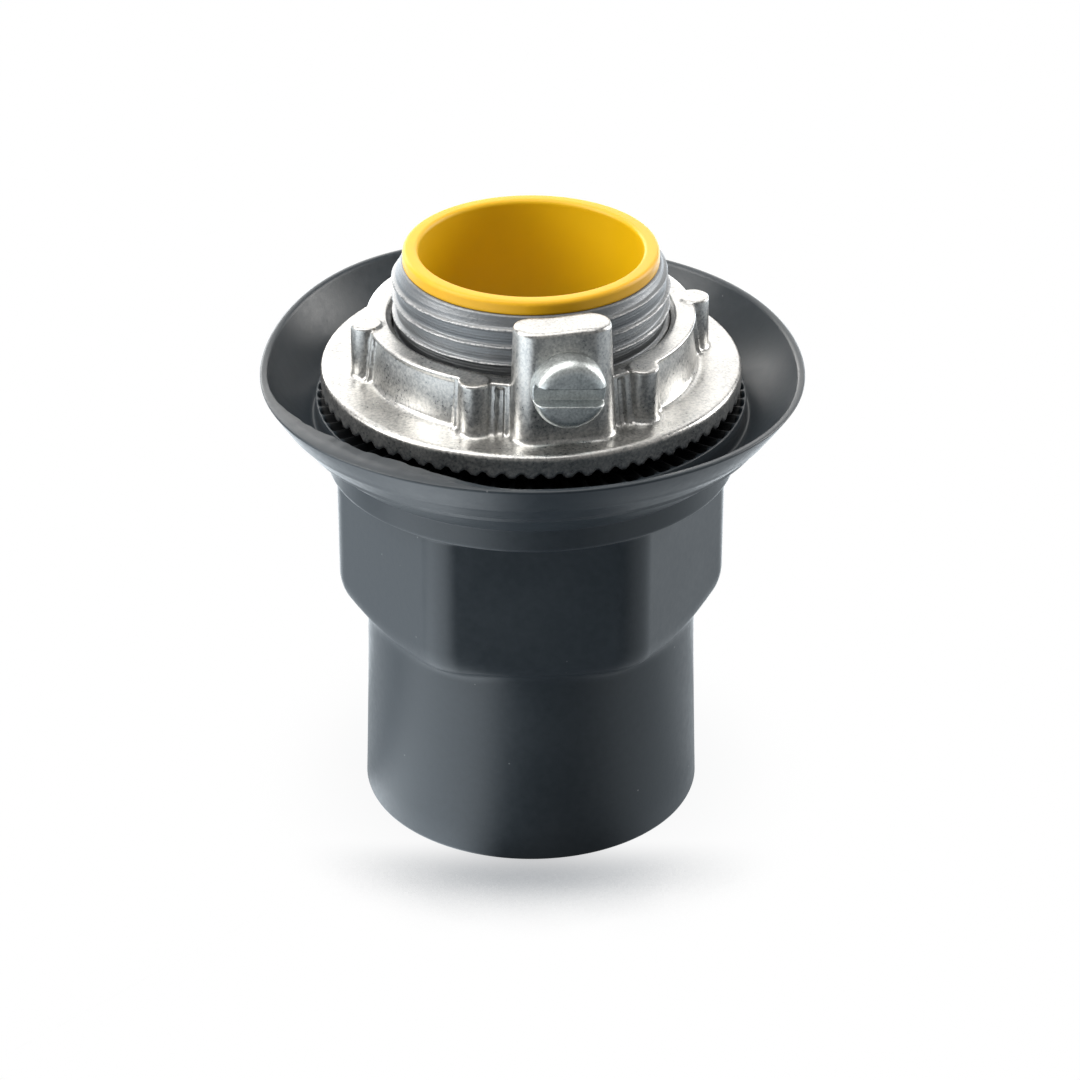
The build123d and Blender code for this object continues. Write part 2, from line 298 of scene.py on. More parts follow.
def coat_wall(z, angle, shrink):
    """Outside radius of the coat at a height, less shrink.

    The sleeve flares a little to its end. The hexagon stands out from it over a hollow fillet,
    with a round foot that is larger at the corners, and the collar slopes out above to its own
    radius. The larger of them counts, with the corners between them rounded.
    """
    below = np.clip((CASTING_END_Z - z) / CASTING_END_Z, 0, 1)
    sleeve = SLEEVE_R + (SLEEVE_END_R - SLEEVE_R) * below**SLEEVE_FLARE_POWER
    hexagon = hexagon_radius(angle, HEX_APOTHEM, HEX_CORNER_R)
    corner = hexagon - HEX_APOTHEM
    up_round = np.clip((z - HEX_FOOT_Z) / (HEX_FOOT_ROUND + 0.7 * corner), 0, 1)
    foot = (0.5 + 0.6 * corner) * (1 - np.sqrt(1 - (1 - up_round) ** 2))
    fillet = np.clip((z - HEX_FOOT_Z) / HEX_FILLET + 1, 0, 1) ** HEX_FILLET_POWER
    wall = soft_max(sleeve, sleeve + (hexagon - foot - sleeve) * fillet, 0.2)
    collar = soft_min(COLLAR_R + 0 * z, SLEEVE_R + (z - COLLAR_Z) * COLLAR_SLOPE, 0.8)
    return soft_max(wall, collar, 1.0) - shrink


def flange_side(z, angle, foot_r, widest, shrink):
    """Radius of the seam between coat and casting at a height.

    Above the flange's foot it slopes out from foot_r, and below it follows the coat's wall less
    shrink, as far out as widest.
    """
    slope = foot_r + (z - FLANGE_FOOT_Z) * FLANGE_SLOPE
    return np.where(z > FLANGE_FOOT_Z, slope, np.minimum(coat_wall(z, angle, shrink), widest))


def tooth_notch(angle, radius):
    """Depth, 0 to 1, of the radial V grooves at an angle: 1 on each groove's centre line."""
    pitch_angle = 2 * math.pi / TEETH
    off = np.mod(angle + math.pi / 2, pitch_angle) - pitch_angle / 2
    return np.clip(1 - np.abs(off) * radius / TOOTH_HALF_WIDTH, 0, 1)


def face_groove(notch):
    """Depth of a groove in the flange's face: the V of the notch with its floor made flat."""
    return 1.1 * TOOTH_DEPTH * np.clip(1.5 * notch, 0, 1)


def rim_wave(mean, terms):
    """Radius or height round the rim: a mean and pairs of cosine and sine, 1 to 4 a turn."""
    around = turns + math.pi / 2
    wave = np.full(len(turns), mean)
    for number, (cosine, sine) in enumerate(terms, 1):
        wave += cosine * np.cos(number * around) + sine * np.sin(number * around)
    return wave[None, :]


def bent_run(start, end, bulge, steps):
    """Points from start to end along a parabola that leaves the straight line by bulge."""
    t = np.linspace(0, 1, steps)[:, None]
    run = end[0] - start[0]
    rise = end[1] - start[1]
    slant = np.sqrt(run**2 + rise**2)
    out = 4 * bulge * t * (1 - t)
    return start[0] + run * t + out * rise / slant, start[1] + rise * t - out * run / slant


def crease_line(along, place, width):
    """Height, 0 to 1, of a line of a width that runs round the skirt at a place along it."""
    return np.exp(-(((along - place) / width) ** 2))


def quad_mesh(name, points, quads):
    """Blender object at the origin from points in metres and quads, turned to face outwards."""
    corners = points[quads]
    first = np.cross(corners[:, 1], corners[:, 2])
    second = np.cross(corners[:, 2], corners[:, 3])
    volume = (corners[:, 0] * (first + second)).sum()
    if volume < 0:
        quads = quads[:, ::-1]
    mesh = bpy.data.meshes.new(name)
    mesh.vertices.add(len(points))
    mesh.vertices.foreach_set("co", points.astype(np.float32).ravel())
    mesh.loops.add(quads.size)
    mesh.loops.foreach_set("vertex_index", quads.astype(np.int32).ravel())
    mesh.polygons.add(len(quads))
    mesh.polygons.foreach_set("loop_start", np.arange(0, quads.size, 4, dtype=np.int32))
    mesh.update(calc_edges=True)
    mesh.validate()
    mesh.shade_smooth()
    piece = bpy.data.objects.new(name, mesh)
    bpy.context.collection.objects.link(piece)
    return piece


def ring_mesh(name, outline, angles):
    """Closed mesh from a closed outline carried round Z.

    The outline is a list of runs, each a radius and a height in millimetres. Either is one
    number, a column with a row for each point, or a grid with a column for each angle too.
    """
    radius = np.concatenate([r + 0 * z + 0 * angles for r, z in outline])
    height = np.concatenate([z + 0 * r + 0 * angles for r, z in outline])
    points = np.stack([radius * np.cos(angles), radius * np.sin(angles), height], axis=-1) * MM
    rows, columns = radius.shape
    row, place = np.meshgrid(np.arange(rows), np.arange(columns), indexing="ij")
    next_row = (row + 1) % rows
    next_place = (place + 1) % columns
    quads = np.stack(
        [
            row * columns + place,
            row * columns + next_place,
            next_row * columns + next_place,
            next_row * columns + place,
        ],
        axis=-1,
    )
    return quad_mesh(name, points.reshape(-1, 3), quads.reshape(-1, 4))


turns = np.linspace(0, 2 * math.pi, 576, endpoint=False) - math.pi / 2
turn_row = turns[None, :]

end_turn = np.linspace(0, math.pi / 2, 6)[:-1, None]
end_r = SLEEVE_END_R - SLEEVE_END_ROUND + SLEEVE_END_ROUND * np.sin(end_turn)
end_z = SLEEVE_END_ROUND - SLEEVE_END_ROUND * np.cos(end_turn)
# The wall's rings lie closer together at the hexagon's foot and at the collar.
wall_z = np.concatenate(
    [
        np.linspace(SLEEVE_END_ROUND, 23.6, 7),
        np.linspace(24.0, 31.6, 30),
        np.linspace(35, 42, 2),
        np.linspace(43.4, 48.9, 26),
    ]
)[:, None]

rim_r = rim_wave(RIM_MEAN_R, RIM_R_WAVES)
rim_z = rim_wave(RIM_MEAN_Z, RIM_Z_WAVES)
skirt_r, skirt_z = bent_run((COLLAR_R, SKIRT_ROOT_Z), (rim_r, rim_z), SKIRT_BULGE, SKIRT_RINGS)
along = column(np.linspace(0, 1, SKIRT_RINGS))
crease = crease_line(along, 0.42 + 0.03 * np.sin(turn_row), 0.022)
crease = crease * (0.35 + 0.65 * eased(np.sin(turn_row + 2.6), -0.4, 0.6))
second_crease = crease_line(along, 0.62 - 0.05 * np.sin(turn_row + 1), 0.03)
skirt_r = skirt_r + 0.2 * crease + 0.09 * second_crease
skirt_z = skirt_z - 0.1 * crease

trimmed = eased(turn_row, *TRIM_STARTS) * (1 - eased(turn_row, *TRIM_ENDS))
ragged = (
    0.1 * np.sin(23 * turn_row)
    + 0.08 * np.sin(57 * turn_row + 1)
    + 0.05 * np.sin(91 * turn_row)
)
rim_wall = RIM_WALL + (TRIM_WALL + ragged) * trimmed
inner_r, inner_z = bent_run(
    (rim_r - rim_wall, rim_z + 0.1 + 0.5 * trimmed),
    (RIM_BAND_R + 0.5, SKIRT_VALLEY_Z),
    -SKIRT_BULGE,
    22,
)

toothed_r = column([25.8, 25.6, 25.4, 25.1, 24.6, 23.8, 23.0, 22.2, 21.6, 21.3, 20.75])
toothed_band = eased(-toothed_r, -25.9, -25.6) * eased(toothed_r, 21.3, 21.65)
toothed_z = FACE_Z - face_groove(tooth_notch(turn_row, toothed_r) * toothed_band)
inside_z = column([53.2, 50.0, 48.0, 44.0, 30.0, 28.0, 25.0, 22.0])

jacket = ring_mesh(
    "jacket_coat",
    [
        (end_r, end_z),
        (coat_wall(wall_z, turn_row, 0), wall_z),
        (skirt_r, skirt_z),
        (rim_r - 0.2, rim_z + 0.12),
        (inner_r, inner_z),
        (RIM_BAND_R + 0.2, SKIRT_VALLEY_Z - 0.1),
        (RIM_BAND_R, column([52.6, 53.4, FACE_Z - 0.15])),
        (column([RIM_BAND_R - 0.12, RIM_BAND_R - 0.25]), FACE_Z),
        (toothed_r, toothed_z),
        (toothed_r[:1:-1], toothed_z[:1:-1] - 0.1),
        (
            flange_side(
                inside_z, turn_row, FLANGE_FOOT_R + 0.02, FLANGE_FOOT_R, COAT - 0.02
            ),
            inside_z,
        ),
        (SLEEVE_BORE_R, column(np.linspace(CASTING_END_Z, 0.15, 4))),
        (SLEEVE_BORE_R + 0.15, 0),
    ],
    turn_row,
)


def new_group(name, inputs, outputs):
    """Shader group with number sockets of these names, and its input and output nodes."""
    group = bpy.data.node_groups.new(name, "ShaderNodeTree")
    for in_out, labels in (("INPUT", inputs), ("OUTPUT", outputs)):
        for label in labels:
            group.interface.new_socket(label, in_out=in_out, socket_type="NodeSocketFloat")
    return group, group.nodes.new("NodeGroupInput"), group.nodes.new("NodeGroupOutput")


def grain_group():
    """Shader group on Object coordinates: broad clouds, fine grain and a few scattered specks."""
    group, source, sink = new_group(
        "clouds_grain_specks", ("Scale", "Grain Share"), ("Tone", "Grain", "Specks")
    )
    nodes = group.nodes
    links = group.links
    place = nodes.new("ShaderNodeTexCoord")
    clouds = nodes.new("ShaderNodeTexNoise")
    clouds.inputs["Detail"].default_value = 5
    grain = nodes.new("ShaderNodeTexNoise")
    grain.inputs["Detail"].default_value = 3
    grain.inputs["Roughness"].default_value = 0.65
    finer = math_node(nodes, "Math", "MULTIPLY", 11)
    sparse = nodes.new("ShaderNodeTexVoronoi")
    sparser = math_node(nodes, "Math", "MULTIPLY", 5)
    near = range_node(nodes, (0.035, 0.065), (1, 0), "LINEAR")
    chosen = nodes.new("ShaderNodeSeparateColor")
    few = math_node(nodes, "Math", "GREATER_THAN", 0.76)
    both = math_node(nodes, "Math", "MULTIPLY")
    blend = nodes.new("ShaderNodeMix")
    for texture in (clouds, grain, sparse):
        links.new(place.outputs["Object"], texture.inputs["Vector"])
    links.new(source.outputs["Scale"], clouds.inputs["Scale"])
    links.new(source.outputs["Scale"], finer.inputs[0])
    links.new(finer.outputs[0], grain.inputs["Scale"])
    links.new(source.outputs["Scale"], sparser.inputs[0])
    links.new(sparser.outputs[0], sparse.inputs["Scale"])
    links.new(source.outputs["Grain Share"], blend.inputs["Factor"])
    links.new(clouds.outputs["Fac"], blend.inputs["A"])
    links.new(grain.outputs["Fac"], blend.inputs["B"])
    links.new(sparse.outputs["Distance"], near.inputs["Value"])
    links.new(sparse.outputs["Color"], chosen.inputs["Color"])
    links.new(chosen.outputs["Red"], few.inputs[0])
    links.new(near.outputs["Result"], both.inputs[0])
    links.new(few.outputs[0], both.inputs[1])
    links.new(blend.outputs["Result"], sink.inputs["Tone"])
    links.new(grain.outputs["Fac"], sink.inputs["Grain"])
    links.new(both.outputs[0], sink.inputs["Specks"])
    return group


def radius_group():
    """Shader group on Object coordinates: 0 inside one radius about Z, 1 outside another.

    Below the height Lowest it is 1 at every radius.
    """
    group, source, sink = new_group("radius_mask", ("Inner", "Outer", "Lowest"), ("Mask",))
    nodes = group.nodes
    links = group.links
    place = nodes.new("ShaderNodeTexCoord")
    flatten = math_node(nodes, "VectorMath", "MULTIPLY", (1, 1, 0))
    reach = math_node(nodes, "VectorMath", "LENGTH")
    between = nodes.new("ShaderNodeMapRange")
    height = nodes.new("ShaderNodeSeparateXYZ")
    below = math_node(nodes, "Math", "LESS_THAN")
    either = math_node(nodes, "Math", "MAXIMUM")
    links.new(place.outputs["Object"], flatten.inputs[0])
    links.new(flatten.outputs["Vector"], reach.inputs[0])
    links.new(reach.outputs["Value"], between.inputs["Value"])
    links.new(source.outputs["Inner"], between.inputs["From Min"])
    links.new(source.outputs["Outer"], between.inputs["From Max"])
    links.new(place.outputs["Object"], height.inputs["Vector"])
    links.new(height.outputs["Z"], below.inputs[0])
    links.new(source.outputs["Lowest"], below.inputs[1])
    links.new(between.outputs["Result"], either.inputs[0])
    links.new(below.outputs[0], either.inputs[1])
    links.new(either.outputs[0], sink.inputs["Mask"])
    return group


grain_and_specks = grain_group()
radius_mask = radius_group()


def grained_finish(name, dark, light, speck, scale, grain_share, rough, relief, metallic=0.0):
    """Principled finish for a moulded or cast surface.

    Its tone drifts from dark to light and its roughness over rough with the clouds and grain,
    specks of a third tone lie on it, and the grain stands out by relief, in millimetres.
    """
    finish = bpy.data.materials.new(name)
    finish.use_nodes = True
    nodes = finish.node_tree.nodes
    links = finish.node_tree.links
    shader = nodes["Principled BSDF"]
    shader.inputs["Metallic"].default_value = metallic
    effect = nodes.new("ShaderNodeGroup")
    effect.node_tree = grain_and_specks
    effect.inputs["Scale"].default_value = scale
    effect.inputs["Grain Share"].default_value = grain_share
    tone = tone_node(nodes, ((0.38, dark), (0.62, light)))
    specked = nodes.new("ShaderNodeMix")
    specked.name = "specked"
    specked.data_type = "RGBA"
    specked.inputs["B"].default_value = (*speck, 1)
    gloss = range_node(nodes, (0.35, 0.65), rough, "LINEAR")
    bump = nodes.new("ShaderNodeBump")
    bump.inputs["Distance"].default_value = relief * MM
    bump.inputs["Strength"].default_value = 1.0
    links.new(effect.outputs["Tone"], tone.inputs["Fac"])
    links.new(effect.outputs["Specks"], specked.inputs["Factor"])
    links.new(tone.outputs["Color"], specked.inputs["A"])
    links.new(specked.outputs["Result"], shader.inputs["Base Color"])
    links.new(effect.outputs["Tone"], gloss.inputs["Value"])
    links.new(gloss.outputs["Result"], shader.inputs["Roughness"])
    links.new(effect.outputs["Grain"], bump.inputs["Height"])
    links.new(bump.outputs["Normal"], shader.inputs["Normal"])
    return finish


def paint_shade_and_light_inside(finish, inner, outer, lowest, tone):
    """Paints shade and light into a finish as another tone inside a radius and above a height,
    all in millimetres.
    """
    nodes = finish.node_tree.nodes
    links = finish.node_tree.links
    mask = nodes.new("ShaderNodeGroup")
    mask.node_tree = radius_mask
    mask.inputs["Inner"].default_value = inner * MM
    mask.inputs["Outer"].default_value = outer * MM
    mask.inputs["Lowest"].default_value = lowest * MM
    shaded = nodes.new("ShaderNodeMix")
    shaded.data_type = "RGBA"
    shaded.inputs["A"].default_value = (*tone, 1)
    links.new(mask.outputs["Mask"], shaded.inputs["Factor"])
    links.new(nodes["specked"].outputs["Result"], shaded.inputs["B"])
    links.new(shaded.outputs["Result"], nodes["Principled BSDF"].inputs["Base Color"])
    return finish


grey_pvc = grained_finish(
    "grey_pvc",
    dark=(0.021, 0.029, 0.037),
    light=(0.029, 0.038, 0.047),
    speck=(0.16, 0.17, 0.18),
    scale=90,
    grain_share=0.5,
    rough=(0.34, 0.46),
    relief=0.012,
)
# Painted shade: the toothed ring under the nut's flange, inside 25.5 mm and above 52.5 mm, is
# toned near black.
jacket.data.materials.append(
    paint_shade_and_light_inside(grey_pvc, inner=25.5, outer=25.8, lowest=52.5, tone=(0.004, 0.005, 0.006))
)
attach(jacket, "hub")
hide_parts("pvc_jacket")

# Hub casting.
# One zinc die casting inside the jacket: the neck with its cast thread, the flange face with
# radial teeth and seal groove, and below the threaded socket that the conduit screws into.
NECK_R = 16.7
NECK_TOP_Z = 72.2
NECK_TOP_R = 15.45
NECK_BORE_R = 14.6
THREAD_PITCH = 2.209
THREAD_DEPTH = 0.62
THREAD_START = 70.54 + THREAD_PITCH * 32 / 360
THREAD_CREST = 0.15
LEAD_DEPTH = 1.05
GROOVE_IN_R = 17.8
GROOVE_OUT_R = 20.6
GROOVE_Z = 52.7
TEETH_DROP = 0.35
SOCKET_R = 14.7
SOCKET_THREAD_DEPTH = 0.8
STOP_R = 13.6
STOP_Z = 44.0
STOP_TOP_Z = 46.5


def thread_form(z, angle, start):
    """Right-hand thread, 1 on the narrow crest and near 0 on the wide, faintly lined root."""
    phase = np.mod((z - start) / THREAD_PITCH - (angle + math.pi / 2) / (2 * math.pi) + 0.5, 1)
    off = np.abs(phase - 0.5) * 2
    crest = np.exp(-((off / THREAD_CREST) ** 2))
    return crest + 0.14 * off + 0.035 * np.cos(6 * math.pi * off)


hub_turns = np.linspace(0, 2 * math.pi, 360, endpoint=False) - math.pi / 2 + math.radians(0.5)
hub_row = hub_turns[None, :]

neck_z = np.linspace(NECK_TOP_Z - 0.2, FACE_Z + 0.15, 160)[:, None]
lead = eased(neck_z, NECK_TOP_Z - 1.5, NECK_TOP_Z - 0.1)
root = THREAD_DEPTH * (1 - thread_form(neck_z, hub_row, THREAD_START)) * (1 - lead)
teeth_r = column([20.9, 21.3, 22.2, 23.0, 24.0, 25.0])
side_z = column([53.4, 50.0, 48.0, 44.0, 36.0, 29.0, 27.9, 25.5, CASTING_END_Z + 0.3])
socket_z = np.linspace(CASTING_END_Z + 0.9, STOP_Z - 1.0, 56)[:, None]
socket_root = SOCKET_THREAD_DEPTH * (1 - thread_form(socket_z, hub_row, CASTING_END_Z))

casting = ring_mesh(
    "zinc_casting",
    [
        (NECK_BORE_R, NECK_TOP_Z - 0.1),
        (column([NECK_BORE_R + 0.1, NECK_TOP_R]), NECK_TOP_Z),
        (NECK_R - root - LEAD_DEPTH * lead, neck_z),
        (column([16.75, 17.7]), FACE_Z),
        (GROOVE_IN_R, column([FACE_Z - 0.1, GROOVE_Z])),
        (GROOVE_OUT_R, column([GROOVE_Z, FACE_Z - 0.1])),
        (20.75, FACE_Z),
        (teeth_r, FACE_Z - TEETH_DROP - face_groove(tooth_notch(hub_row, teeth_r))),
        (
            flange_side(
                side_z, hub_row, FLANGE_FOOT_R - 0.05, FLANGE_FOOT_R - 0.1, COAT + 0.05
            ),
            side_z,
        ),
        (column([19.1, 15.6]), CASTING_END_Z),
        (SOCKET_R + socket_root, socket_z),
        (SOCKET_R, column([STOP_Z - 0.9, STOP_Z])),
        (STOP_R, column([STOP_Z, STOP_TOP_Z])),
        (NECK_BORE_R, column([STOP_TOP_Z, 60.0])),
    ],
    hub_row,
)
cast_zinc = grained_finish(
    "cast_zinc",
    dark=(0.17, 0.18, 0.19),
    light=(0.51, 0.51, 0.51),
    speck=(0.08, 0.08, 0.08),
    scale=260,
    grain_share=0.8,
    rough=(0.4, 0.55),
    relief=0.05,
    metallic=1.0,
)
# Partly oxide stain and partly painted shade: inside 16.25 mm and above 55 mm, the thread's roots
# and the bore are toned darker than the crests.
casting.data.materials.append(
    paint_shade_and_light_inside(cast_zinc, inner=16.25, outer=16.62, lowest=55.0, tone=(0.2, 0.21, 0.22))
)
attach(casting, "hub")
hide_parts("hub_body")

# Seal ring.
# A black nitrile ring of round section, moulded in one piece and laid uncompressed in the
# groove of the flange face.
SEAL_R = 19.2
SEAL_SECTION_R = 1.3

around = np.linspace(0, 2 * math.pi, 24, endpoint=False)[:, None]
seal = ring_mesh(
    "seal_ring",
    [
        (
            SEAL_R + SEAL_SECTION_R * np.cos(around),
            GROOVE_Z + SEAL_SECTION_R + SEAL_SECTION_R * np.sin(around),
        )
    ],
    hub_row,
)
seal.data.materials.append(
    grained_finish(
        "black_nitrile",
        dark=(0.011, 0.011, 0.012),
        light=(0.02, 0.02, 0.021),
        speck=(0.02, 0.02, 0.021),
        scale=120,
        grain_share=0.5,
        rough=(0.5, 0.62),
        relief=0.01,
    )
)
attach(seal, "hub")
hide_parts("o_ring")

# Throat insulator.
# A bush moulded in yellow nylon and pressed into the neck, with a round lip that covers the
# neck's end.
THROAT_R = 13.45
LIP_R = 15.35
LIP_TOP_Z = 73.9
LIP_ROUND = 0.55
BUSH_R = 14.55
BUSH_END_Z = 58.2

lip_turn = np.linspace(0, math.pi / 2, 9)[:, None]
lip_out = LIP_ROUND * np.cos(lip_turn)
lip_up = LIP_ROUND * np.sin(lip_turn)
insulator = ring_mesh(
    "nylon_throat",
    [
        (THROAT_R, column([BUSH_END_Z + 0.1, BUSH_END_Z])),
        (BUSH_R, column([BUSH_END_Z, BUSH_END_Z + 0.1])),
        (column([BUSH_R, LIP_R - 0.1]), NECK_TOP_Z),
        (LIP_R, column(np.linspace(NECK_TOP_Z + 0.1, LIP_TOP_Z - 0.6, 5))),
        (LIP_R - LIP_ROUND + lip_out, LIP_TOP_Z - LIP_ROUND + lip_up),
        (THROAT_R + LIP_ROUND - lip_up, LIP_TOP_Z - LIP_ROUND + lip_out),
        (THROAT_R, column(np.linspace(LIP_TOP_Z - 0.8, BUSH_END_Z + 0.6, 24))),
    ],
    hub_row,
)
yellow_nylon = grained_finish(
    "yellow_nylon",
    dark=(0.76, 0.4, 0.0),
    light=(0.82, 0.44, 0.001),
    speck=(0.5, 0.3, 0.01),
    scale=60,
    grain_share=0.3,
    rough=(0.42, 0.52),
    relief=0.006,
)
# Painted light: inside 13.5 mm the throat is toned yellower than the lip, for the colour that
# light takes deep in the nylon throat.
insulator.data.materials.append(
    paint_shade_and_light_inside(yellow_nylon, inner=13.5, outer=13.8, lowest=50.0, tone=(0.75, 0.465, 0.0))
)
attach(insulator, "hub")
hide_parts("throat_insulator")

# Lock nut.
# A zinc die casting, bright from the mould: serrated flange, collar with six round lugs and
# the tall terminal boss, all run together by the fillets that a mould leaves.
NUT_R = 25.45
NUT_FOOT_Z = 56.2
NUT_TOP_Z = 59.0
NUT_BORE_R = 16.82
NUT_EDGE_ROUND = 0.75
NUT_TEETH_START_R = (21.2, 21.4)
COLLAR_FOOT_R = 20.6
COLLAR_TOP_R = 19.75
COLLAR_TOP_Z = 65.4
PANEL_DEPTH = 0.55
PANEL_FROM_LUG = (2.55, 2.8)
PANEL_FROM_BOSS = (6.8, 7.1)
PANEL_FROM_TOP = (0.35, 0.75)
LUG_RING_R = 20.0
LUG_R = 1.97
LUG_DRAFT = 0.018
LUG_RISE = 0.25
BOSS_ANGLE = math.radians(10.8)
BOSS_HALF_WIDTH = 6.2
BOSS_FACE = 22.3
BOSS_TOP_Z = 73.0
BOSS_CORNER_R = 2.6
BOSS_BACK = 16.9
BOSS_BACK_CORNER_R = 2.2
BOSS_INNER_END = 12
BOSS_DRAFT = math.tan(math.radians(2))


def level_mesh(name, solid, first, step, counts, wraps, to_space):
    """Closed mesh of the surface where solid(x, y, z) is 0; solid is below 0 inside.

    A grid of counts nodes starts at first. Each cell that the surface crosses holds the point
    nearest to the planes that touch the surface where it crosses the cell's edges, which keeps
    edges sharp, and each crossed edge joins its four cells in a quad. wraps closes axis 1.
    """
    nudge_length = 0.01
    gentlest_slope = 0.4
    pull_to_middle = 0.08
    largest_shift = 0.2
    axes = [first[n] + step[n] * np.arange(counts[n]) for n in range(3)]
    value = solid(*to_space(*np.meshgrid(*axes, indexing="ij")))
    if wraps:
        value = np.concatenate([value, value[:, :1]], axis=1)
    cells = np.array(value.shape) - 1
    cell_lists = []
    place_list = []
    slope_list = []
    flip_list = []
    for axis in range(3):
        low = [slice(0, value.shape[n] - (n == axis)) for n in range(3)]
        high = [slice(n == axis, None) for n in range(3)]
        start = value[tuple(low)]
        end = value[tuple(high)]
        edge = np.argwhere((start < 0) != (end < 0))
        others = [n for n in range(3) if n != axis]
        inner = [(edge[:, n] > 0) & (edge[:, n] < cells[n]) | (wraps and n == 1) for n in others]
        seam = (edge[:, 1] < cells[1]) | (axis == 1)
        edge = edge[inner[0] & inner[1] & seam]
        low_value = start[tuple(edge.T)]
        node = edge.astype(float)
        node[:, axis] += low_value / (low_value - end[tuple(edge.T)])
        place = np.stack(to_space(*[first[n] + step[n] * node[:, n] for n in range(3)]), axis=-1)
        here = solid(*place.T)
        nudges = nudge_length * np.eye(3)
        slope = [(solid(*(place + nudge).T) - here) / nudge_length for nudge in nudges]
        slope = np.stack(slope, axis=-1)
        steep = np.linalg.norm(slope, axis=1, keepdims=True)
        place -= slope * (here[:, None] / np.maximum(steep, gentlest_slope) ** 2)
        corners = []
        for a, b in ((0, 0), (1, 0), (1, 1), (0, 1)):
            cell = edge.copy()
            cell[:, others[0]] -= a
            cell[:, others[1]] -= b
            if wraps:
                cell[:, 1] %= cells[1]
            corners.append(np.ravel_multi_index(cell.T, cells))
        cell_lists.append(np.stack(corners, axis=-1))
        place_list.append(place)
        slope_list.append(slope / np.maximum(steep, 1e-6))
        flip_list.append((low_value > 0) ^ (axis == 1))
    quads = np.concatenate(cell_lists)
    place = np.repeat(np.concatenate(place_list), 4, axis=0)
    slope = np.repeat(np.concatenate(slope_list), 4, axis=0)
    flip = np.concatenate(flip_list)
    used, number = np.unique(quads.ravel(), return_inverse=True)
    number = number.ravel()

    def gathered(values):
        """Sum of the values over the crossings of each cell."""
        return np.bincount(number, values, len(used))

    hits = gathered(np.ones(len(number)))
    middle = np.stack([gathered(place[:, n]) for n in range(3)], axis=-1) / hits[:, None]
    reach = ((place - middle[number]) * slope).sum(axis=1)
    planes = np.stack(
        [
            np.stack([gathered(slope[:, m] * slope[:, n]) for n in range(3)], axis=-1)
            for m in range(3)
        ],
        axis=-1,
    )
    pull = np.stack([gathered(slope[:, n] * reach) for n in range(3)], axis=-1)
    shift = np.linalg.solve(planes + pull_to_middle * np.eye(3), pull[..., None])[..., 0]
    points = middle + np.clip(shift, -largest_shift, largest_shift)
    quads = number.reshape(-1, 4)
    quads = np.where(flip[:, None], quads[:, ::-1], quads)
    return quad_mesh(name, points * MM, quads)


def rounded_plan(u, v, half_width, face, corner_r):
    """Distance to a plan with two round outer corners: |u| up to half_width, v up to face."""
    side = np.abs(u) - (half_width - corner_r)
    front = v - (face - corner_r)
    outside = np.hypot(np.maximum(side, 0), np.maximum(front, 0))
    return outside + np.minimum(np.maximum(side, front), 0) - corner_r


def nut_solid(x, y, z):
    """Distance, in millimetres, to the nut's surface.

    A round-edged flange, a drafted collar with shallow panels between the lugs, six drafted
    round lugs and the drafted boss are joined with soft corners. Then the grooves of the foot
    and the bore, wider at its mouth, are cut away. A slow wobble keeps the faces from being
    dead flat.
    """
    radius = np.hypot(x, y)
    angle = np.arctan2(y, x)
    from_boss = np.mod(angle + math.pi / 2 - BOSS_ANGLE + math.pi, 2 * math.pi) - math.pi
    lug_step = math.pi / 3
    from_lug = np.mod(from_boss, lug_step) - lug_step / 2
    height = z - NUT_TOP_Z
    wobble = 0.05 * np.sin(3 * angle + 1) + 0.03 * np.sin(7 * angle + 0.16 * z)

    flange = soft_max(radius - NUT_R, height - 0.5 * wobble, NUT_EDGE_ROUND)
    draft = (COLLAR_FOOT_R - COLLAR_TOP_R) / (COLLAR_TOP_Z - NUT_TOP_Z)
    collar_r = COLLAR_FOOT_R - draft * height
    lug_reach = np.abs(from_lug) * LUG_RING_R
    boss_reach = np.abs(from_boss) * LUG_RING_R
    panel = eased(lug_reach, *PANEL_FROM_LUG) * eased(boss_reach, *PANEL_FROM_BOSS)
    panel = panel * eased(COLLAR_TOP_Z - z, *PANEL_FROM_TOP)
    collar = radius - collar_r + PANEL_DEPTH * panel
    collar = soft_max(collar, z - COLLAR_TOP_Z - wobble, 0.25)
    lug_x = radius * np.cos(from_lug) - LUG_RING_R
    lug_y = radius * np.sin(from_lug)
    lug = np.hypot(lug_x, lug_y) - (LUG_R - LUG_DRAFT * height)
    lug = soft_max(lug, z - COLLAR_TOP_Z - LUG_RISE, 0.25)
    u = radius * np.sin(from_boss)
    v = radius * np.cos(from_boss)
    shrink = BOSS_DRAFT * height
    plan = rounded_plan(u, v, BOSS_HALF_WIDTH - shrink, BOSS_FACE - shrink, BOSS_CORNER_R)
    back = rounded_plan(u, -v, BOSS_HALF_WIDTH - shrink, -BOSS_BACK, BOSS_BACK_CORNER_R)
    plan = np.maximum(plan, np.where(z > COLLAR_TOP_Z, back, plan))
    boss = soft_max(plan, z - BOSS_TOP_Z - 0.06 * np.sin(0.7 * u), 0.6)
    boss = np.maximum(boss, BOSS_INNER_END - v)

    joined = soft_min(collar, lug, 0.15)
    joined = soft_min(joined, boss, 0.4)
    joined = soft_min(joined, flange, 0.8)
    notch = tooth_notch(angle, radius) * eased(radius, *NUT_TEETH_START_R)
    foot = NUT_FOOT_Z + 0.8 * TOOTH_DEPTH * eased(notch, 0, 0.9)
    joined = soft_max(joined, foot - z, 0.12)
    mouth = NUT_BORE_R + np.clip(z - COLLAR_TOP_Z + 0.7, 0, 0.6)
    return soft_max(joined, mouth - radius, 0.15)


def ring_space(radius, angle, z):
    """Point at a radius and height for an angle round Z."""
    return radius * np.cos(angle), radius * np.sin(angle), z


